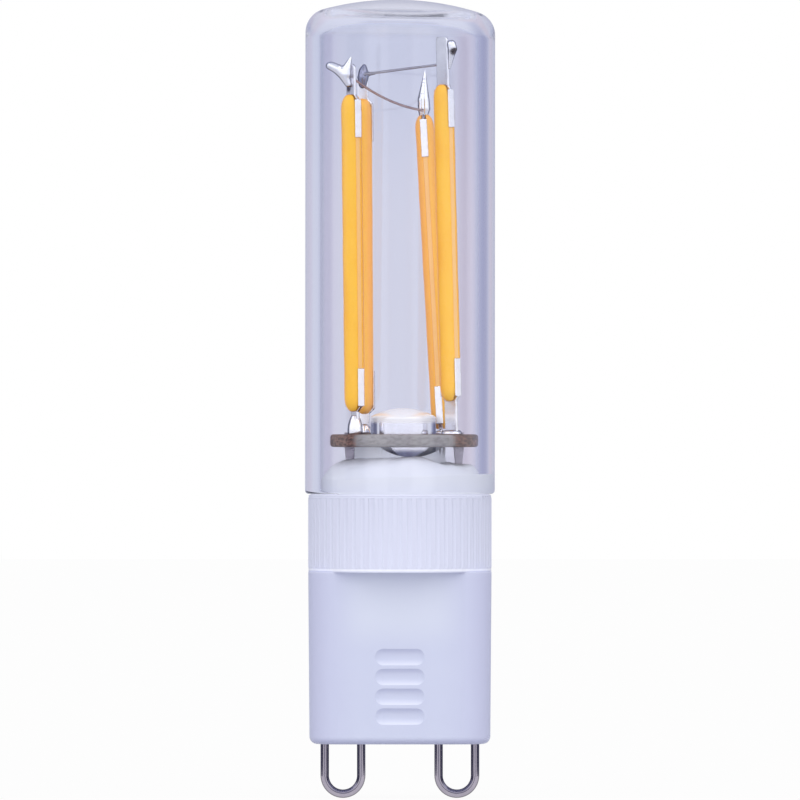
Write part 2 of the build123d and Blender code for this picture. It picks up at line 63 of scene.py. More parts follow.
class Wire:
    # one socket of a shader tree: sums on it add Math nodes
    def __init__(self, tree, socket=None):
        self.tree = tree
        self.socket = socket

    def plug(self, socket, value):
        if isinstance(value, Wire):
            self.tree.links.new(value.socket, socket)
        else:
            socket.default_value = value

    def add(self, kind, settings=None, links=None, out=0):
        node = self.tree.nodes.new("ShaderNode" + kind)
        for name, value in (settings or {}).items():
            if name == "stops":
                ramp = node.color_ramp
                ramp.elements[0].position = value[0][0]
                ramp.elements[1].position = value[-1][0]
                for place, colour in value[1:-1]:
                    ramp.elements.new(place)
                for element, (place, colour) in zip(ramp.elements, value):
                    element.color = (*colour, 1)
            else:
                setattr(node, name, value)
        for name, value in (links or {}).items():
            self.plug(node.inputs[name], value)
        return Wire(self.tree, node.outputs[out])

    def sum(self, operation, first, second):
        return self.add("Math", {"operation": operation}, {0: first, 1: second})

    def __add__(self, other):
        return self.sum("ADD", self, other)

    def __radd__(self, other):
        return self.sum("ADD", other, self)

    def __sub__(self, other):
        return self.sum("SUBTRACT", self, other)

    def __rsub__(self, other):
        return self.sum("SUBTRACT", other, self)

    def __mul__(self, other):
        return self.sum("MULTIPLY", self, other)

    def __rmul__(self, other):
        return self.sum("MULTIPLY", other, self)

    def __gt__(self, other):
        return self.sum("GREATER_THAN", self, other)

    def __abs__(self):
        return self.add("Math", {"operation": "ABSOLUTE"}, {0: self})

    def part(self, axis):
        return self.add("SeparateXYZ", {}, {0: self}, out=axis)

    def between(self, low, high):
        # 0 below low, 1 above high, smooth between
        settings = {"interpolation_type": "SMOOTHSTEP"}
        return self.add("MapRange", settings, {0: self, 1: low, 2: high, 3: 0.0, 4: 1.0})

    def blend(self, colour, other):
        # from one colour to the other as this value goes from 0 to 1
        links = {0: self, 6: rgba(colour), 7: rgba(other)}
        return self.add("Mix", {"data_type": "RGBA"}, links, out=2)


def rgba(colour):
    return colour if isinstance(colour, Wire) else (*colour, 1)


def paint(red, green, blue):
    # a colour as read off a screen, 0 to 255, turned into light
    def light(value):
        value = value / 255
        return value / 12.92 if value < 0.04045 else ((value + 0.055) / 1.055) ** 2.4
    return (light(red), light(green), light(blue))


def newFinish(name, settings):
    material = bpy.data.materials.new(name)
    material.use_nodes = True
    shader = material.node_tree.nodes["Principled BSDF"]
    for socket, value in settings.items():
        shader.inputs[socket].default_value = value
    return material, Wire(material.node_tree), shader.inputs


def grain(tree, size, detail=3.0, stretch=(1, 1, 1), rough=0.55):
    # noise with features of about the given size, in mm
    place = tree.add("TexCoord", out="Object")
    place = tree.add("Mapping", {}, {"Vector": place, "Scale": stretch})
    links = {"Vector": place, "Scale": 1 / (size * mm), "Detail": detail, "Roughness": rough}
    return tree.add("TexNoise", {}, links)


def spot(tree, axis):
    # a coordinate of the surface, in mm
    return tree.add("TexCoord", out="Object").part(axis) * (1 / mm)


def bumped(tree, height, depth):
    # depth in mm
    return tree.add("Bump", {}, {"Height": height, "Distance": depth * mm, "Strength": 1.0})


glassLook = {
    "tint": (0.93, 0.938, 0.985),
    "streakTint": (0.945, 0.95, 0.985),
    "streak": 2.2,
    "streakStretch": (1, 1, 0.04),
    "crownTint": (0.885, 0.905, 0.97),
    "crownFrom": (40.0, 56.5),  # heights over which the glass greys
    "topTint": (0.985, 0.987, 0.995),
    "topFrom": (56.8, 57.6),
    "softFrom": (56.0, 57.4),  # and over which it clouds a little
    "soft": 0.06,
}


def clearGlass():
    settings = {"Transmission Weight": 1.0, "IOR": 1.5, "Roughness": 0.0}
    material, tree, shader = newFinish("clearGlass", settings)
    streak = grain(tree, glassLook["streak"], 2.0, glassLook["streakStretch"])
    colour = streak.blend(glassLook["tint"], glassLook["streakTint"])
    height = spot(tree, "Z")
    colour = height.between(*glassLook["crownFrom"]).blend(colour, glassLook["crownTint"])
    colour = height.between(*glassLook["topFrom"]).blend(colour, glassLook["topTint"])
    tree.plug(shader["Base Color"], colour)
    tree.plug(shader["Roughness"], glassLook["soft"] * height.between(*glassLook["softFrom"]))
    return material


mouldingLook = {
    "body": paint(200, 205, 228),
    "shade": paint(195, 200, 225),
    "cloud": 3.5,
    "upper": paint(207, 212, 231),  # painted light: lighter in the middle, below the collar
    "paintedLightPatchFrom": (7.0, 10.2),
    "paintedLightPatchWithin": (2.0, 6.5),
    "flank": paint(190, 193, 221),  # painted shade: darker out to the sides, where the surface turns from the front
    "paintedSideShadeFrom": (3.0, 7.3),
    "paintedSideShadeFacing": (0.0, 0.5),
    "under": paint(180, 184, 216),  # painted shade where the surface looks down, as at the top of a groove
    # painted light where the surface looks up, as at the bottom of a groove
    "over": paint(222, 225, 241),
    "lean": (0.12, 0.7),
    "leanShare": 0.7,
    # painted light: the collar a little lighter than the body, as lit from above
    "collar": paint(209, 212, 233),
    "paintedCollarLightFrom": (13.3, 13.9),  # heights over which the colour changes
    # painted highlight: a light line along the lower edge of the collar
    "lip": paint(232, 234, 248),
    "paintedLipHighlightFrom": (13.6, 13.7),
    "lipTo": (13.76, 13.86),
    # painted glow that lifts the shade of the moulding
    "glow": 0.06,
    "roughness": (0.4, 0.52),
    "speckle": 0.09,
    "skin": 0.004,
}


def whiteMoulding():
    look = mouldingLook
    settings = {"IOR": 1.48, "Specular IOR Level": 0.3, "Emission Strength": look["glow"]}
    material, tree, shader = newFinish("whiteMoulding", settings)
    cloud = grain(tree, look["cloud"], 2.0)
    speckle = grain(tree, look["speckle"], 3.0)
    colour = cloud.blend(look["body"], look["shade"])
    height = spot(tree, "Z")
    out = abs(spot(tree, "X"))
    # painted light: the body lighter in the middle, below the collar
    upper = height.between(*look["paintedLightPatchFrom"]) * (1.0 - out.between(*look["paintedLightPatchWithin"]))
    colour = upper.blend(colour, look["upper"])
    normal = tree.add("NewGeometry", out="Normal")
    # painted shade out to the sides, where the surface turns from the front
    flank = abs(normal.part("Y")).between(*look["paintedSideShadeFacing"]) * out.between(*look["paintedSideShadeFrom"])
    colour = flank.blend(colour, look["flank"])
    # painted shade where the surface looks down and painted light where it looks up
    lean = normal.part("Z")
    colour = (look["leanShare"] * (-1.0 * lean).between(*look["lean"])).blend(colour, look["under"])
    colour = (look["leanShare"] * lean.between(*look["lean"])).blend(colour, look["over"])
    # painted light on the collar
    colour = height.between(*look["paintedCollarLightFrom"]).blend(colour, look["collar"])
    # painted highlight along the lower edge of the collar
    lip = height.between(*look["paintedLipHighlightFrom"]) * (1.0 - height.between(*look["lipTo"]))
    colour = lip.blend(colour, look["lip"])
    tree.plug(shader["Base Color"], colour)
    tree.plug(shader["Emission Color"], colour)
    low, high = look["roughness"]
    tree.plug(shader["Roughness"], low + (high - low) * speckle)
    tree.plug(shader["Normal"], bumped(tree, speckle, look["skin"]))
    return material


fillingLook = {"cloud": 1.4, "uneven": 0.06, "skin": 0.01}


def whiteFilling(name, body, shade, roughness, glow):
    # the glow is painted light: the surface gives off a little light of its own colour, lifting its shade
    settings = {"IOR": 1.45, "Specular IOR Level": 0.3, "Emission Strength": glow}
    material, tree, shader = newFinish(name, settings)
    cloud = grain(tree, fillingLook["cloud"], 3.0)
    colour = cloud.blend(body, shade)
    tree.plug(shader["Base Color"], colour)
    tree.plug(shader["Emission Color"], colour)
    uneven = fillingLook["uneven"]
    tree.plug(shader["Roughness"], roughness - uneven + 2 * uneven * cloud)
    tree.plug(shader["Normal"], bumped(tree, cloud, fillingLook["skin"]))
    return material


phosphorLook = {
    "body": paint(251, 190, 50),
    "deep": paint(248, 178, 42),
    "deepFrom": (0.35, 0.7),
    "pale": paint(255, 206, 96),
    "paleFrom": (0.55, 0.75),
    "paleShare": 0.35,
    # painted shade: the filaments further back darker and more orange
    "rear": paint(248, 178, 74),
    "rearFrom": (0.5, 3.0),
    # painted shade: deeper orange where the gel turns away from the front
    "side": paint(243, 164, 50),
    "paintedEdgeShadeFrom": (0.1, 0.7),
    # painted light: paler where the gel faces the front
    "crest": paint(254, 198, 66),
    "paintedCrestLightFrom": (0.75, 1.0),
    "paintedCrestLightShare": 0.5,
    "flow": 1.6,
    "flowStretch": (1, 1, 0.35),
    "dust": 0.05,
    "dustShare": 0.15,
    # painted glow, partly for the gel's own yellow light
    "glow": 0.1,
    "roughness": (0.2, 0.34),
    "skin": 0.02,
}


def phosphorGel():
    # painted glow: the gel gives off light of its own colour, for the room's blue light that it throws back
    # as yellow
    look = phosphorLook
    material, tree, shader = newFinish("phosphorGel", {"IOR": 1.45, "Emission Strength": look["glow"]})
    flow = grain(tree, look["flow"], 2.0, look["flowStretch"])
    dust = grain(tree, look["dust"], 2.0)
    colour = flow.between(*look["deepFrom"]).blend(look["body"], look["deep"])
    colour = (dust.between(*look["paleFrom"]) * look["paleShare"]).blend(colour, look["pale"])
    # painted shade on the filaments further back
    colour = spot(tree, "Y").between(*look["rearFrom"]).blend(colour, look["rear"])
    # painted shade where the gel turns from the front, painted light where it faces it
    faceOn = abs(tree.add("NewGeometry", out="Normal").part("Y"))
    colour = faceOn.between(*look["paintedEdgeShadeFrom"]).blend(look["side"], colour)
    colour = (faceOn.between(*look["paintedCrestLightFrom"]) * look["paintedCrestLightShare"]).blend(colour, look["crest"])
    tree.plug(shader["Base Color"], colour)
    tree.plug(shader["Emission Color"], colour)
    low, high = look["roughness"]
    tree.plug(shader["Roughness"], low + (high - low) * dust)
    tree.plug(shader["Normal"], bumped(tree, flow + look["dustShare"] * dust, look["skin"]))
    return material


# Burnt flux at two of the joints: where, how far it reaches in mm, and its colour
fluxMarks = [(-4.06, -2.3, 51.68), (4.1, -3.05, 54.6)]
fluxLook = {"reach": (0.2, 0.42), "colour": paint(74, 62, 66)}


def fluxStain(tree):
    # 1 in the middle of a mark, 0 away from both
    stain = 0.0
    for mark in fluxMarks:
        place = tree.add("TexCoord", out="Object")
        middle = tuple(value * mm for value in mark)
        off = tree.add("VectorMath", {"operation": "DISTANCE"}, {0: place, 1: middle}, out="Value")
        stain = stain + (1.0 - (off * (1 / mm)).between(*fluxLook["reach"]))
    return stain


canShade = {
    # painted shade: the can darker where it stands under the board
    "below": paint(92, 95, 120),
    "paintedShadeUnderBoardFrom": (22.9, 23.4),
    "top": paint(246, 247, 252),
    "topFrom": (25.15, 25.5),
    "satin": 0.8,
}
metalLook = {"cloud": 0.5, "fine": 0.06, "skin": 0.002}


def metal(name, colour, dull, rim, roughness, stretch=(1, 1, 1), paintedRimFrom=(0.2, 0.75)):
    # rim is a painted dark reflection: the colour painted where the surface turns away from view
    material, tree, shader = newFinish(name, {"Metallic": 1.0})
    cloud = grain(tree, metalLook["cloud"], 3.0, stretch)
    fine = grain(tree, metalLook["fine"], 2.0, stretch)
    shade = cloud.blend(paint(*colour), paint(*dull))
    if name in ("tinnedSteel", "brightSolder"):
        shade = fluxStain(tree).blend(shade, fluxLook["colour"])
    # painted dark reflection at the rim
    facing = tree.add("LayerWeight", {}, {"Blend": 0.5}, out="Facing")
    shade = facing.between(*paintedRimFrom).blend(shade, paint(*rim))
    if name == "polishedCan":
        height = spot(tree, "Z")
        # painted shade below the board
        shade = height.between(*canShade["paintedShadeUnderBoardFrom"]).blend(canShade["below"], shade)
        top = height.between(*canShade["topFrom"])
        shade = top.blend(shade, canShade["top"])
        tree.plug(shader["Metallic"], 1.0 - canShade["satin"] * top)
    low, high = roughness
    tree.plug(shader["Base Color"], shade)
    tree.plug(shader["Roughness"], low + (high - low) * cloud)
    tree.plug(shader["Normal"], bumped(tree, fine, metalLook["skin"]))
    return material


boardLook = {
    "end": paint(132, 98, 88),
    "speck": paint(70, 53, 52),
    "speckFrom": (0.35, 0.65),
    "cut": paint(156, 154, 158),
    "cutDark": paint(130, 126, 128),
    "cutDarkFrom": (0.3, 0.8),
    "cutFrom": (4.3, 4.75),
    "ragged": 0.5,
    "fibre": 0.35,
    "fibreStretch": (1, 1, 2.0),
    "roughness": (0.5, 0.8),
    "skin": 0.03,
}


def fibreBoard():
    # brown, and grey on the two flats where it is cut
    look = boardLook
    material, tree, shader = newFinish("fibreBoard", {"IOR": 1.45})
    fibre = grain(tree, look["fibre"], 4.0, look["fibreStretch"])
    edge = abs(spot(tree, "Y")) + look["ragged"] * fibre - look["ragged"] / 2
    brown = fibre.between(*look["speckFrom"]).blend(look["end"], look["speck"])
    grey = fibre.between(*look["cutDarkFrom"]).blend(look["cut"], look["cutDark"])
    tree.plug(shader["Base Color"], edge.between(*look["cutFrom"]).blend(brown, grey))
    low, high = look["roughness"]
    tree.plug(shader["Roughness"], low + (high - low) * fibre)
    tree.plug(shader["Normal"], bumped(tree, fibre, look["skin"]))
    return material


plainLook = {"uneven": 0.1, "skin": 0.005}


def plainFinish(name, colour, other, size, roughness):
    material, tree, shader = newFinish(name, {})
    cloud = grain(tree, size, 3.0)
    tree.plug(shader["Base Color"], cloud.blend(colour, other))
    uneven = plainLook["uneven"]
    tree.plug(shader["Roughness"], roughness - uneven + 2 * uneven * cloud)
    tree.plug(shader["Normal"], bumped(tree, cloud, plainLook["skin"]))
    return material


finishes = {
    "glass": clearGlass(),
    "moulding": whiteMoulding(),
    # the insert and the core carry painted glow that lifts their shade
    "insert": whiteFilling("whiteInsert", paint(222, 225, 237), paint(216, 220, 233), 0.45, 0.16),
    "silicone": whiteFilling("whiteSilicone", paint(220, 223, 236), paint(211, 215, 230), 0.4, 0.0),
    "phosphor": phosphorGel(),
    "core": whiteFilling("filamentCore", paint(246, 198, 126), paint(240, 187, 120), 0.45, 0.14),
    "steel": metal("tinnedSteel", (252, 252, 254), (238, 238, 245), (164, 158, 170), (0.14, 0.3)),
    "solder": metal("brightSolder", (254, 254, 255), (232, 233, 242), (92, 92, 110), (0.06, 0.2)),
    # painted shade: a darker copy of the bright solder, for the joint at the back
    "greySolder": metal("greySolder", (170, 172, 192), (118, 120, 142), (72, 73, 92), (0.06, 0.2)),
    "leadSteel": metal("dullLead", (176, 172, 186), (140, 135, 150), (96, 92, 104), (0.2, 0.4)),
    "copper": metal("tarnishedCopper", (206, 182, 180), (164, 138, 140), (104, 88, 92), (0.22, 0.4)),
    "tinnedWire": metal("tinnedWire", (186, 185, 198), (150, 149, 164), (92, 90, 104), (0.22, 0.4)),
    "pin": metal("drawnPin", (186, 180, 193), (162, 156, 171), (44, 40, 50), (0.08, 0.16), (1, 1, 0.06)),
    "board": fibreBoard(),
    "can": metal(
        "polishedCan", (230, 231, 240), (220, 222, 234), (96, 99, 128), (0.08, 0.16), paintedRimFrom=(0.4, 0.75)
    ),
    "rubber": plainFinish("bungRubber", (0.02, 0.02, 0.022), (0.035, 0.035, 0.04), 0.4, 0.7),
    "circuit": plainFinish("circuitBoard", paint(44, 96, 66), paint(34, 78, 54), 0.8, 0.45),
    "chip": plainFinish("chipPackage", (0.015, 0.015, 0.018), (0.03, 0.03, 0.034), 0.2, 0.6),
    "resistor": plainFinish("chipResistor", (0.02, 0.02, 0.022), (0.05, 0.05, 0.055), 0.3, 0.4),
}
print("finishes made:", len(finishes))


def pick(piece):
    bpy.ops.object.select_all(action="DESELECT")
    piece.select_set(True)
    bpy.context.view_layer.objects.active = piece


def choose(piece, test):
    # goes into edit mode with only the vertices selected that pass the test, which gets their place in mm
    pick(piece)
    bpy.ops.object.mode_set(mode="EDIT")
    bpy.ops.mesh.select_mode(type="VERT")
    bpy.ops.mesh.select_all(action="DESELECT")
    bpy.ops.object.mode_set(mode="OBJECT")
    for vertex in piece.data.vertices:
        vertex.select = test(vertex.co / mm)
    bpy.ops.object.mode_set(mode="EDIT")


def dress(piece, finish, node):
    piece.data.materials.clear()
    piece.data.materials.append(finishes[finish])
    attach(piece, "root")
    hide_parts(node)
    return piece


def shapeWith(piece, kind, **settings):
    pick(piece)
    modifier = piece.modifiers.new(kind.lower(), kind)
    for name, value in settings.items():
        setattr(modifier, name, value)
    bpy.ops.object.modifier_apply(modifier=modifier.name)


def smoothed(piece, angle):
    # flat faces stay flat and the rounds between them shade smoothly
    pick(piece)
    bpy.ops.object.shade_smooth_by_angle(angle=math.radians(angle))
    shapeWith(piece, "WEIGHTED_NORMAL", mode="FACE_AREA", keep_sharp=True)
    return piece


def turned(name, profile, steps, middle=(0, 0)):
    # a line of (radius, height) points in mm, spun round an upright axis
    bpy.ops.object.select_all(action="DESELECT")
    radius, height = profile[0]
    bpy.ops.mesh.primitive_plane_add(size=mm, location=(radius * mm, 0, height * mm))
    piece = bpy.context.object
    piece.name = name
    bpy.ops.object.transform_apply(location=True, rotation=True, scale=True)
    bpy.ops.object.mode_set(mode="EDIT")
    bpy.ops.mesh.select_all(action="SELECT")
    bpy.ops.mesh.merge(type="CENTER")
    for (fromRadius, fromHeight), (toRadius, toHeight) in zip(profile, profile[1:]):
        step = ((toRadius - fromRadius) * mm, 0, (toHeight - fromHeight) * mm)
        bpy.ops.mesh.extrude_region_move(TRANSFORM_OT_translate={"value": step})
    bpy.ops.mesh.select_all(action="SELECT")
    bpy.ops.mesh.spin(steps=steps, angle=2 * math.pi, center=(0, 0, 0), axis=(0, 0, 1))
    bpy.ops.mesh.select_all(action="SELECT")
    bpy.ops.mesh.remove_doubles(threshold=weldGap)
    bpy.ops.mesh.normals_make_consistent(inside=False)
    bpy.ops.transform.translate(value=(middle[0] * mm, middle[1] * mm, 0))
    bpy.ops.object.mode_set(mode="OBJECT")
    return piece


def arc(centre, radius, start, end, count):
    turns = [math.radians(start + (end - start) * step / (count - 1)) for step in range(count)]
    return [(centre[0] + radius * math.cos(turn), centre[1] + radius * math.sin(turn)) for turn in turns]


def plainName(node):
    words = node.split("_")
    return words[0] + "".join(word.title() for word in words[1:])


def cadCopy(node, flat=0.0):
    # a welded copy of a solid. Faces that lie within flat degrees of each other become one.
    piece = bpy.data.objects.new(plainName(node), nodes[node].data.copy())
    scene.collection.objects.link(piece)
    pick(piece)
    bpy.ops.object.mode_set(mode="EDIT")
    bpy.ops.mesh.select_all(action="SELECT")
    bpy.ops.mesh.remove_doubles(threshold=weldGap)
    if flat:
        bpy.ops.mesh.dissolve_limited(angle_limit=math.radians(flat))
    bpy.ops.object.mode_set(mode="OBJECT")
    return piece


def softened(piece, width, sharp, **settings):
    # edges that turn by more than an angle are rounded off
    settings.update(width=width * mm, segments=3, limit_method="ANGLE", angle_limit=math.radians(sharp))
    shapeWith(piece, "BEVEL", **settings)


# Degrees: faces that differ by less than flat are one, edges over sharp are broken
sheetAngles = {"flat": 1.0, "sharp": 30, "smooth": 40}


def stamped(node, edge, **settings):
    # a piece of sheet with its edges broken
    piece = cadCopy(node, sheetAngles["flat"])
    softened(piece, edge, sheetAngles["sharp"], **settings)
    return smoothed(piece, sheetAngles["smooth"])


def flowed(piece, flow):
    # solder: the surface drawn smooth, as it sets
    shapeWith(piece, "REMESH", mode="VOXEL", voxel_size=flow["grid"] * mm)
    shapeWith(piece, "SMOOTH", factor=0.5, iterations=flow["passes"])
    pick(piece)
    bpy.ops.object.shade_smooth()
    return piece


# Glass envelope
glassSize = {
    "wall": 1.2,
    "crown": 22.0,
    "corner": 1.9,
    "innerCorner": 1.2,
    "rim": 0.28,
    "innerRim": 0.12,
    "rimRows": 8,
    "innerRimRows": 6,
    "tilt": 1.2,  # degrees, the crown sits higher at the left
    "tiltAbove": 54.5,
    "steps": 256,
    "smooth": 40,
}
crownRows = {"crown": 40, "corner": 32}


def crownLine(radius, top, crown, corner):
    # from the pole over the crown and round the corner, down to the straight wall
    middle = top - crown
    across = radius - corner
    height = middle + math.sqrt((crown - corner) ** 2 - across**2)
    lean = math.degrees(math.atan2(height - middle, across))
    over = arc((0, middle), crown, 90, lean, crownRows["crown"])
    return over + arc((across, height), corner, lean, 0, crownRows["corner"])[1:]


def tiltAbove(piece, height, degrees):
    # leans what stands above a height, its left side up
    choose(piece, lambda place: place.z > height)
    turn = -math.radians(degrees)
    bpy.ops.transform.rotate(value=turn, orient_axis="Y", center_override=(0, 0, height * mm))
    bpy.ops.object.mode_set(mode="OBJECT")


def makeGlass():
    low, high = (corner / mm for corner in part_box("glass_envelope"))
    radius = (high.x - low.x) / 2
    bore = radius - glassSize["wall"]
    rim, innerRim = glassSize["rim"], glassSize["innerRim"]
    outside = crownLine(radius, high.z, glassSize["crown"], glassSize["corner"])
    innerCrown = glassSize["crown"] - glassSize["wall"]
    inside = crownLine(bore, high.z - glassSize["wall"], innerCrown, glassSize["innerCorner"])
    lip = arc((radius - rim, low.z + rim), rim, 0, -90, glassSize["rimRows"])
    lip += arc((bore + innerRim, low.z + innerRim), innerRim, -90, -180, glassSize["innerRimRows"])
    piece = turned("glassEnvelope", outside + lip + inside[::-1], glassSize["steps"])
    tiltAbove(piece, glassSize["tiltAbove"], glassSize["tilt"])
    smoothed(piece, glassSize["smooth"])
    # light scattered by what is inside goes out freely
    piece.visible_diffuse = False
    piece.visible_shadow = False
    return dress(piece, "glass", "glass_envelope")


makeGlass()
print("glass made")

# Base, insert, board and pins
baseSize = {
    "flat": 1.0,
    "softEdge": 0.09,
    "sharp": 31,
    "smooth": 40,
    "fluted": (6.0, 0.1),  # from and to, below the top of the collar
    "fluteBottom": 0.03,  # what lies deeper than this in the collar is the bottom of a flute
    "fluteDepth": 0.1,
    "fluteFill": 1.0075,
    "insertSmooth": 33,
    "boardEdge": 0.24,
    "leadEdge": 0.05,
}


def makeBase():
    piece = cadCopy("base_housing", baseSize["flat"])
    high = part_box("base_housing")[1] / mm
    foot, head = (high.z - drop for drop in baseSize["fluted"])
    outer = high.y - baseSize["fluteBottom"]
    inner = outer - baseSize["fluteDepth"]
    choose(piece, lambda place: foot < place.z < head and inner < place.xy.length < outer)
    fill = baseSize["fluteFill"]
    bpy.ops.transform.resize(value=(fill, fill, 1), center_override=(0, 0, 0))
    bpy.ops.object.mode_set(mode="OBJECT")
    softened(piece, baseSize["softEdge"], baseSize["sharp"])
    return dress(smoothed(piece, baseSize["smooth"]), "moulding", "base_housing")


makeBase()
insert = smoothed(cadCopy("neck_insert"), baseSize["insertSmooth"])
dress(insert, "insert", "neck_insert")
board = stamped("filament_board", baseSize["boardEdge"], use_clamp_overlap=False)
dress(board, "board", "filament_board")

pinSize = {"outerTop": 2.2, "around": 40, "bend": 40, "smooth": 50}


def makePin(side, sign):
    # a wire loop: a ring drawn down the outer leg, round the bend and up the inner leg
    node = "contact_pin_" + side
    low, high = (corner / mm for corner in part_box(node))
    wire = (high.y - low.y) / 2
    bend = (high.x - low.x) / 2 - wire
    middle = (low.x + high.x) / 2
    turn = low.z + wire + bend
    start = ((middle + sign * bend) * mm, 0, pinSize["outerTop"] * mm)
    bpy.ops.object.select_all(action="DESELECT")
    bpy.ops.mesh.primitive_circle_add(vertices=pinSize["around"], radius=wire * mm, location=start)
    piece = bpy.context.object
    piece.name = plainName(node)
    bpy.ops.object.transform_apply(location=True, rotation=True, scale=True)
    bpy.ops.object.mode_set(mode="EDIT")
    bpy.ops.mesh.select_all(action="SELECT")
    down = (0, 0, (turn - pinSize["outerTop"]) * mm)
    bpy.ops.mesh.extrude_region_move(TRANSFORM_OT_translate={"value": down})
    centre = (middle * mm, 0, turn * mm)
    bpy.ops.mesh.spin(steps=pinSize["bend"], angle=-sign * math.pi, center=centre, axis=(0, 1, 0))
    up = (0, 0, (high.z - turn) * mm)
    bpy.ops.mesh.extrude_region_move(TRANSFORM_OT_translate={"value": up})
    bpy.ops.mesh.select_all(action="SELECT")
    bpy.ops.mesh.fill_holes(sides=0)
    bpy.ops.mesh.select_all(action="SELECT")
    bpy.ops.mesh.remove_doubles(threshold=weldGap)
    bpy.ops.mesh.normals_make_consistent(inside=False)
    bpy.ops.object.mode_set(mode="OBJECT")
    pick(piece)
    bpy.ops.object.shade_smooth_by_angle(angle=math.radians(pinSize["smooth"]))
    return dress(piece, "pin", node)


for side, sign in (("left", -1), ("right", 1)):
    makePin(side, sign)
    lead = "feed_lead_" + side
    dress(stamped(lead, baseSize["leadEdge"]), "leadSteel", lead)
print("base made")

# Capacitor can, turned
canSize = {
    "edge": 0.3,
    "dome": 0.7,
    "lift": 0.08,
    "crimpHeight": 2.3,
    "crimpRadius": 0.35,
    "crimpArc": (120, 240, 9),  # degrees, and the number of rows
    "bevel": 0.1,
    "wall": 0.4,
    "recess": 0.3,
    "steps": 128,
    "smooth": 40,
}


def makeCan():
    low, high = (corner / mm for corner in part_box("capacitor_can"))
    radius = (high.x - low.x) / 2
    middle = ((high.x + low.x) / 2, (high.y + low.y) / 2)
    dome, crimp, bevel = canSize["dome"], canSize["crimpRadius"], canSize["bevel"]
    bulge = (radius**2 + dome**2) / (2 * dome)
    bore = radius - canSize["wall"]
    recess = low.z + canSize["recess"]
    profile = crownLine(radius, high.z + canSize["lift"], bulge, canSize["edge"])
    profile += arc((radius + crimp / 2, low.z + canSize["crimpHeight"]), crimp, *canSize["crimpArc"])
    profile += [(radius, low.z + bevel), (radius - bevel, low.z), (bore, low.z), (bore, recess), (0, recess)]
    piece = turned("capacitorCan", profile, canSize["steps"], middle)
    return dress(smoothed(piece, canSize["smooth"]), "can", "capacitor_can")


makeCan()
print("can made")

# Filaments: two lobes of gel on a strip, with a stamped terminal at each end
lobeSize = {
    "length": 25.0,
    "radius": 0.771,
    "taper": 1.1,
    "tip": 0.2,
    "cut": 0.18,  # half of the strip's thickness
    "rows": 60,
    "steps": 40,
    "swell": (0.012, 0.009),  # slow unevenness of the gel
    "swellLength": (6.1, 2.7),
    "phase": (1.9, 0.8),  # of the swell: from filament to filament, and from front to rear
    "edge": 0.04,
    "sharp": 50,
    "smooth": 50,
    "cutGap": 1e-9,  # m, or the cut welds rows together
}
stripEdge = 0.05
tinFlow = {"grid": 0.035, "passes": 5}
solderFlow = {"grid": 0.04, "passes": 12}

# Solder on the tops, in runs that narrow and widen: right, forward and up from the end of the gel, and
# the radius
topRuns = {
    1: [
        [
            (-1.46, 0.12, 2.25, 0.34),
            (-1.0, 0.12, 2.0, 0.4),
            (-0.58, 0.12, 1.58, 0.42),
            (-0.24, 0.1, 0.82, 0.26),
        ],
        [
            (-0.02, 0.12, 2.96, 0.08),
            (-0.2, 0.12, 2.45, 0.23),
            (-0.38, 0.12, 1.95, 0.38),
            (-0.42, 0.12, 1.58, 0.42),
        ],
        [(-0.95, 0.12, 1.92, 0.36), (-0.42, 0.12, 1.88, 0.38)],
    ],
    2: [
        [(0.0, 0.0, 1.15, 0.36), (0.02, 0.0, 1.7, 0.48), (0.05, 0.0, 2.15, 0.4), (0.12, 0.0, 2.55, 0.2)],
        [(0.15, 0.0, 1.9, 0.3), (0.55, 0.0, 1.96, 0.17), (1.0, 0.0, 2.02, 0.12)],
    ],
    3: [
        [(0.58, 0.55, 3.16, 0.34), (0.66, 0.55, 2.78, 0.36), (0.58, 0.52, 2.3, 0.26), (0.46, 0.48, 1.3, 0.1)],
    ],
    4: [
        [(0.08, 0.0, 3.5, 0.06), (0.04, 0.0, 2.8, 0.19), (-0.04, 0.0, 1.2, 0.5), (0.0, 0.0, 0.5, 0.53)],
        [(0.0, 0.0, 0.5, 0.53), (-0.04, 0.0, 0.0, 0.38)],
    ],
}
ballSize = {"perStretch": 7, "around": 20, "rings": 12}
# the filament whose top solder takes the darker copy, with painted shade
shadedSolderTop = 2


def stripAxes(node):
    # the middle of a straight bar, the direction through it and the direction along it
    places = [vertex.co.copy() for vertex in nodes[node].data.vertices]
    corners = {tuple(round(value, 7) for value in place): place for place in places}
    corners = sorted(corners.values(), key=lambda corner: corner.z)
    first = corners[0]
    others = sorted(corners[1:], key=lambda corner: (corner - first).length)
    middle = sum(corners, Vector()) / len(corners)
    return middle, (others[0] - first).normalized(), (others[3] - first).normalized()


def lobeLine(phase):
    size = lobeSize
    points = [(0, 0)]
    for row in range(size["rows"] + 1):
        # rows crowd towards the two rounded ends
        height = size["length"] * (1 - math.cos(math.pi * row / size["rows"])) / 2
        end = min(height, size["length"] - height, size["taper"]) / size["taper"]
        fullness = math.sqrt(1 - (1 - end) ** 2)
        swell = sum(
            amount * math.sin(2 * math.pi * height / length + phase * (step + 1))
            for step, (amount, length) in enumerate(zip(size["swell"], size["swellLength"]))
        )
        points.append((size["tip"] + (size["radius"] - size["tip"]) * fullness * (1 + swell), height))
    return points + [(0, size["length"])]


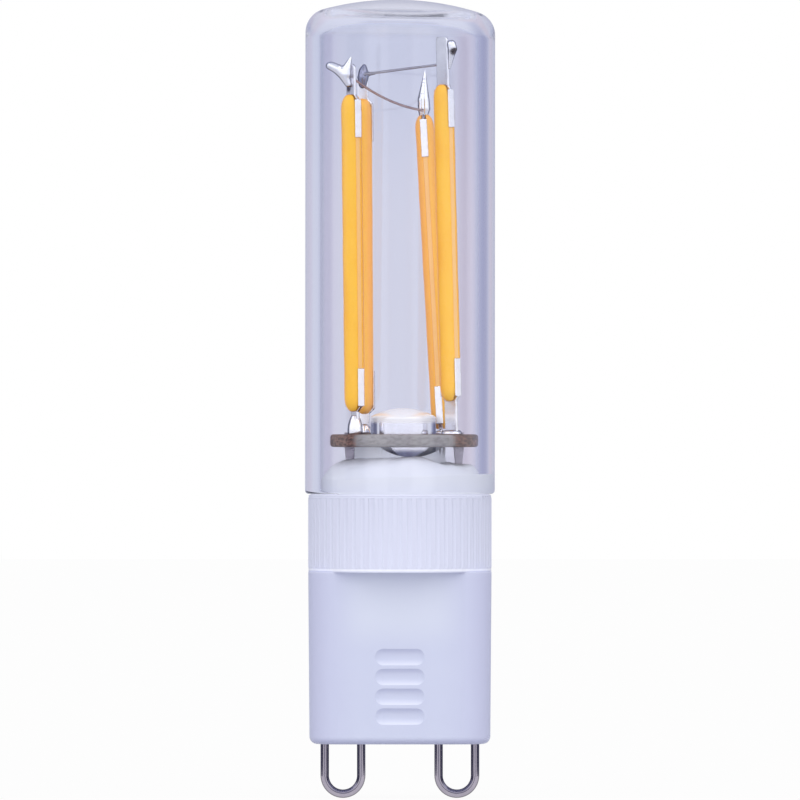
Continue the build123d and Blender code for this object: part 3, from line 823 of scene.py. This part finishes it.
def makeRuns(node, strip, runs, finish):
    middle, along = stripAxes(strip)[::2]
    end = middle + along * lobeSize["length"] / 2 * mm
    ballRows = {"segments": ballSize["around"], "ring_count": ballSize["rings"]}
    steps = ballSize["perStretch"]
    balls = []
    bpy.ops.object.select_all(action="DESELECT")
    for run in runs:
        for first, second in zip(run, run[1:]):
            for step in range(steps):
                share = step / (steps - 1)
                right, forward, up, radius = (a + (b - a) * share for a, b in zip(first, second))
                place = end + Vector((right, -forward, up)) * mm
                bpy.ops.mesh.primitive_uv_sphere_add(radius=radius * mm, location=place, **ballRows)
                balls.append(bpy.context.object)
    for ball in balls:
        ball.select_set(True)
    bpy.ops.object.join()
    piece = bpy.context.object
    piece.name = plainName(node)
    bpy.ops.object.transform_apply(location=True, rotation=True, scale=True)
    return dress(flowed(piece, solderFlow), finish, node)


def makeLobe(node, strip, phase):
    middle, through, along = stripAxes(strip)
    low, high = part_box(node)
    outward = through if ((low + high) / 2 - middle).dot(through) > 0 else -through
    piece = turned(plainName(node), lobeLine(phase), lobeSize["steps"])
    bpy.ops.object.mode_set(mode="EDIT")
    bpy.ops.mesh.select_all(action="SELECT")
    level = (0, lobeSize["cut"] * mm, 0)
    half = {"use_fill": True, "clear_inner": True, "threshold": lobeSize["cutGap"]}
    bpy.ops.mesh.bisect(plane_co=level, plane_no=(0, 1, 0), **half)
    bpy.ops.object.mode_set(mode="OBJECT")
    softened(piece, lobeSize["edge"], lobeSize["sharp"], use_clamp_overlap=False)
    turn = Matrix((outward.cross(along), outward, along)).transposed().to_4x4()
    piece.matrix_world = Matrix.Translation(middle - along * lobeSize["length"] / 2 * mm) @ turn
    pick(piece)
    bpy.ops.object.transform_apply(location=True, rotation=True, scale=True)
    return dress(smoothed(piece, lobeSize["smooth"]), "phosphor", node)


for number in range(1, 5):
    name = "filament_%d_" % number
    strip = name + "substrate"
    perFilament, toRear = lobeSize["phase"]
    makeLobe(name + "front_phosphor", strip, number * perFilament)
    makeLobe(name + "rear_phosphor", strip, number * perFilament + toRear)
    dress(stamped(strip, stripEdge), "core", strip)
    for end in ("top", "foot"):
        terminal = name + end + "_terminal"
        joint = name + end + "_solder"
        dress(flowed(cadCopy(terminal), tinFlow), "steel", terminal)
        if end == "top":
            makeRuns(joint, strip, topRuns[number], "greySolder" if number == shadedSolderTop else "solder")
        else:
            dress(flowed(cadCopy(joint), solderFlow), "solder", joint)
print("filaments made")

wireSize = {"slim": 0.03, "smooth": 50}  # slim is taken off all round


def makeJumper(node, finish):
    piece = cadCopy(node)
    choose(piece, lambda place: True)
    bpy.ops.transform.shrink_fatten(value=-wireSize["slim"] * mm)
    bpy.ops.object.mode_set(mode="OBJECT")
    return dress(smoothed(piece, wireSize["smooth"]), finish, node)


makeJumper("jumper_front", "copper")
makeJumper("jumper_rear", "tinnedWire")
print("jumpers made")

# Adhesive bead: silicone heaped over the insert by hand, wetted to the glass at the right and the front
beadSize = {
    "gap": 0.3,
    "foot": 0.03,
    "wet": 1.25,  # on the glass, above the collar
    "shoulder": (0.7, 2.15),  # the fullest point: in from the glass, and above the collar
    "bossRadius": 3.5,
    "crest": 2.9,
    "innerFoot": 1.6,  # of the hidden underside, above its lowest point
    "outerFoot": 0.8,
    "rows": 26,
    "lumps": 0.3,
    "lumpSize": 1.5,
    "lumpsFrom": 0.3,  # out from the boss
    "lumpsTo": 0.1,  # in from the glass, and the width over which they fade
    "lumpsFade": 0.5,
    "tilt": -2.2,
    "tiltAbove": 0.85,
    "sunk": (3.0, -0.55, 1.6),  # lower at the right: from where, by how much, how softly
    "sunkWithin": 4.6,
    "sunkAbove": 1.8,
    "shift": (0.05, -0.05),
    "steps": 160,
    "smooth": 60,
}


def heapLine(start, through, end, rows):
    # an arc through three points
    ax, ay = start
    bx, by = through
    cx, cy = end
    turn = 2 * (ax * (by - cy) + bx * (cy - ay) + cx * (ay - by))
    squares = [x * x + y * y for x, y in (start, through, end)]
    middleX = (squares[0] * (by - cy) + squares[1] * (cy - ay) + squares[2] * (ay - by)) / turn
    middleY = (squares[0] * (cx - bx) + squares[1] * (ax - cx) + squares[2] * (bx - ax)) / turn
    radius = math.hypot(ax - middleX, ay - middleY)
    first = math.degrees(math.atan2(ay - middleY, ax - middleX))
    last = math.degrees(math.atan2(cy - middleY, cx - middleX))
    return arc((middleX, middleY), radius, first, last, rows)


def makeBead():
    low, high = (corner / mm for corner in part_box("adhesive_bead"))
    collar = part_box("base_housing")[1].z / mm
    outer = high.x
    inset, rise = beadSize["shoulder"]
    heap = heapLine(
        (outer, collar + beadSize["wet"]),
        (outer - inset, collar + rise),
        (beadSize["bossRadius"], collar + beadSize["crest"]),
        beadSize["rows"],
    )
    foot = collar + beadSize["foot"]
    profile = [(outer - beadSize["gap"], foot), (outer, foot)] + heap
    profile += [(beadSize["bossRadius"], low.z + beadSize["innerFoot"])]
    profile += [(outer - beadSize["gap"], low.z + beadSize["outerFoot"])]
    profile += profile[:1]
    piece = turned("adhesiveBead", profile, beadSize["steps"], beadSize["shift"])
    tiltAbove(piece, low.z + beadSize["tiltAbove"], beadSize["tilt"])
    sunkFrom, drop, soft = beadSize["sunk"]
    within, above = beadSize["sunkWithin"], collar + beadSize["sunkAbove"]
    choose(piece, lambda place: place.x > sunkFrom and place.xy.length < within and place.z > above)
    fall = {"proportional_edit_falloff": "SMOOTH", "proportional_size": soft * mm}
    bpy.ops.transform.translate(value=(0, 0, drop * mm), use_proportional_edit=True, **fall)
    bpy.ops.object.mode_set(mode="OBJECT")
    # uneven only where it is free
    free = piece.vertex_groups.new(name="free")
    nearest = beadSize["bossRadius"] + beadSize["lumpsFrom"]
    farthest = outer - beadSize["lumpsTo"]
    for vertex in piece.data.vertices:
        radius = math.hypot(vertex.co.x, vertex.co.y) / mm
        if nearest < radius < farthest and vertex.co.z / mm > collar + beadSize["wet"]:
            free.add([vertex.index], min(1.0, (farthest - radius) / beadSize["lumpsFade"]), "REPLACE")
    lumps = bpy.data.textures.new("siliconeLumps", "CLOUDS")
    lumps.noise_scale = beadSize["lumpSize"] * mm
    settings = {"texture": lumps, "texture_coords": "LOCAL", "strength": beadSize["lumps"] * mm}
    shapeWith(piece, "DISPLACE", vertex_group="free", mid_level=0.5, **settings)
    smoothed(piece, beadSize["smooth"])
    return dress(piece, "silicone", "adhesive_bead")


makeBead()
print("bead made")

# Pieces closed up inside the base keep their solids
inside = {
    "driver_board": "circuit",
    "driver_ic": "chip",
    "rectifier_bridge": "chip",
    "chip_resistors": "resistor",
    "driver_solder": "solder",
    "capacitor_bung": "rubber",
    "capacitor_leads": "tinnedWire",
}
for node, finish in inside.items():
    nodes[node].data.materials.clear()
    nodes[node].data.materials.append(finishes[finish])
print("pieces dressed")

# Floor, world and camera
stage = {
    "floorSize": 2.4,
    "floorBack": 0.3,
    "floorWhite": 0.95,
    "mirroredFloor": 0.04,
    "floorColour": (0.62, 0.62, 0.63, 1),
    "lightLevel": 0.7,
    "lightFromAbove": 0.55,
    "lightFromFront": 0.8,
    "lightLeast": 0.42,
    "bounces": 48,
}

# What is seen through the glass: degrees from straight behind, right positive, and the colour there.
# The front half of the room mirrors it.
surroundings = [
    (-180, paint(255, 255, 255)),
    (-80, paint(255, 255, 255)),
    (-74, paint(86, 89, 122)),
    (-55, paint(86, 89, 122)),
    (-50, paint(195, 198, 219)),
    (-44, paint(214, 218, 236)),
    (-31, paint(220, 224, 240)),
    (-22, paint(217, 214, 232)),
    (-17, paint(217, 213, 229)),
    (-13, paint(216, 213, 228)),
    (-6, paint(217, 218, 231)),
    (5, paint(217, 218, 231)),
    (10, paint(211, 203, 218)),
    (16, paint(217, 208, 222)),
    (22, paint(208, 205, 222)),
    (27, paint(190, 193, 218)),
    (33, paint(170, 173, 202)),
    (41, paint(167, 170, 201)),
    (50, paint(180, 183, 211)),
    (58, paint(204, 207, 229)),
    (72, paint(255, 255, 255)),
    (180, paint(255, 255, 255)),
]
# What the pins, the base and the outer face of the glass see
roomOutside = [
    (-180, paint(150, 150, 166)),
    (-168, paint(150, 150, 166)),
    (-163, paint(255, 255, 255)),
    (-142, paint(255, 255, 255)),
    (-134, paint(70, 72, 90)),
    (-104, paint(80, 82, 102)),
    (-90, paint(120, 122, 144)),
    (-60, paint(96, 98, 120)),
    (-40, paint(140, 143, 168)),
    (-10, paint(186, 189, 210)),
    (40, paint(140, 143, 168)),
    (60, paint(96, 98, 120)),
    (90, paint(120, 122, 144)),
    (104, paint(80, 82, 102)),
    (134, paint(70, 72, 90)),
    (142, paint(255, 255, 255)),
    (163, paint(255, 255, 255)),
    (168, paint(150, 150, 166)),
    (180, paint(150, 150, 166)),
]
sky = {
    "overhead": (0.72, 0.74, 0.87),
    "overheadFrom": (0.25, 0.6),
    "lamps": (1.92, 1.88, 1.82),  # as metal in the glass mirrors them
    "lampsBelow": (0.75, 0.75, 0.78),
    "lampsFrom": (-0.6, 0.7),
    "lampsFacing": (-0.05, 0.3),
    "lampsBehind": 3.5,  # more faces of glass than this lie between
    "zenith": paint(206, 209, 230),
    "zenithFrom": (0.8, 0.92),
    "floorThroughGlass": paint(222, 225, 239),
    "softbox": (-0.04, -0.62, 0.78),  # towards the lamp above the camera
    "softboxEdge": (0.93, 0.965),
}


def path(tree, kind):
    return tree.add("LightPath", out=kind)


def makeFloor():
    bpy.ops.object.select_all(action="DESELECT")
    bpy.ops.mesh.primitive_plane_add(size=stage["floorSize"], location=(0, stage["floorBack"], cadBox[0][2]))
    floor = bpy.context.object
    floor.name = "floor"
    material, tree, shader = newFinish("paleFloor", {"Roughness": 0.9, "Specular IOR Level": 0.0})
    shader["Base Color"].default_value = stage["floorColour"]
    through = path(tree, "Is Transmission Ray")
    mirrored = path(tree, "Is Glossy Ray")
    seen = path(tree, "Is Camera Ray") + mirrored + through
    share = tree.sum("MINIMUM", seen, 1.0) * stage["floorWhite"]
    tone = through.blend((1, 1, 1), sky["floorThroughGlass"])
    white = tree.add("Emission", {}, {"Color": tone, "Strength": 1.0})
    plain = Wire(material.node_tree, material.node_tree.nodes["Principled BSDF"].outputs[0])
    mixed = tree.add("MixShader", {}, {0: share, 1: plain, 2: white})
    # bright metal mirrors the floor only near the lamp
    place = tree.add("NewGeometry", out="Position")
    far = tree.add("VectorMath", {"operation": "LENGTH"}, {0: place}, out="Value") > stage["mirroredFloor"]
    clear = tree.add("BsdfTransparent")
    mixed = tree.add("MixShader", {}, {0: far * mirrored, 1: mixed, 2: clear})
    tree.plug(material.node_tree.nodes["Material Output"].inputs["Surface"], mixed)
    floor.data.materials.append(material)


def makeWorld():
    world = bpy.data.worlds.new("studio")
    world.use_nodes = True
    world.cycles.sampling_method = "NONE"
    scene.world = world
    tree = Wire(world.node_tree)
    ray = tree.add("TexCoord", out="Generated")
    across, away, up = (ray.part(axis) for axis in "XYZ")
    ramps = []
    for ring, depth in ((roomOutside, away), (surroundings, abs(away))):
        stops = [(0.5 + degrees / 360, colour) for degrees, colour in ring]
        turn = tree.sum("ARCTAN2", across, depth) * (0.5 / math.pi) + 0.5
        ramps.append(tree.add("ValToRGB", {"stops": stops}, {0: turn}))
    passes = path(tree, "Transmission Depth")
    around = (passes > 0.5).blend(*ramps)
    look = up.between(*sky["overheadFrom"]).blend(around, sky["overhead"])
    mirror = (path(tree, "Glossy Depth") > 0.5) * (passes > sky["lampsBehind"])
    lamps = up.between(*sky["lampsFrom"]).blend(sky["lampsBelow"], sky["lamps"])
    look = (mirror * (-1.0 * away).between(*sky["lampsFacing"])).blend(look, lamps)
    look = up.between(*sky["zenithFrom"]).blend(look, sky["zenith"])
    toward = sky["softbox"]
    facing = across * toward[0] + away * toward[1] + up * toward[2]
    look = facing.between(*sky["softboxEdge"]).blend(look, (1, 1, 1))
    seen = path(tree, "Is Camera Ray")
    scattered = path(tree, "Diffuse Depth") > 0.5
    level = stage["lightLevel"] + stage["lightFromAbove"] * up - stage["lightFromFront"] * away
    level = tree.sum("MAXIMUM", level, stage["lightLeast"])
    light = scattered.blend(look, tree.add("CombineColor", {}, {0: level, 1: level, 2: level}))
    shown = seen.blend(light, (1, 1, 1))
    tree.plug(world.node_tree.nodes["Background"].inputs["Color"], shown)
    # light goes in and out of the glass many times
    scene.cycles.max_bounces = stage["bounces"]
    scene.cycles.transmission_bounces = stage["bounces"]
    scene.cycles.glossy_bounces = stage["bounces"]
    scene.cycles.transparent_max_bounces = stage["bounces"]


view = {
    "distance": 1.0,
    "height": 27.11,
    "across": 0.008,
    "frame": 63.24,
    "sensor": 36,
    "clip": (0.01, 20),
}


def makeCamera():
    camera = bpy.data.objects.new("camera", bpy.data.cameras.new("camera"))
    scene.collection.objects.link(camera)
    camera.location = (view["across"] * mm, -view["distance"], view["height"] * mm)
    camera.rotation_euler = (math.pi / 2, 0, 0)
    camera.data.sensor_width = view["sensor"]
    camera.data.lens = view["sensor"] * view["distance"] / (view["frame"] * mm)
    camera.data.clip_start, camera.data.clip_end = view["clip"]
    scene.camera = camera


makeFloor()
makeWorld()
makeCamera()
print("stage set")
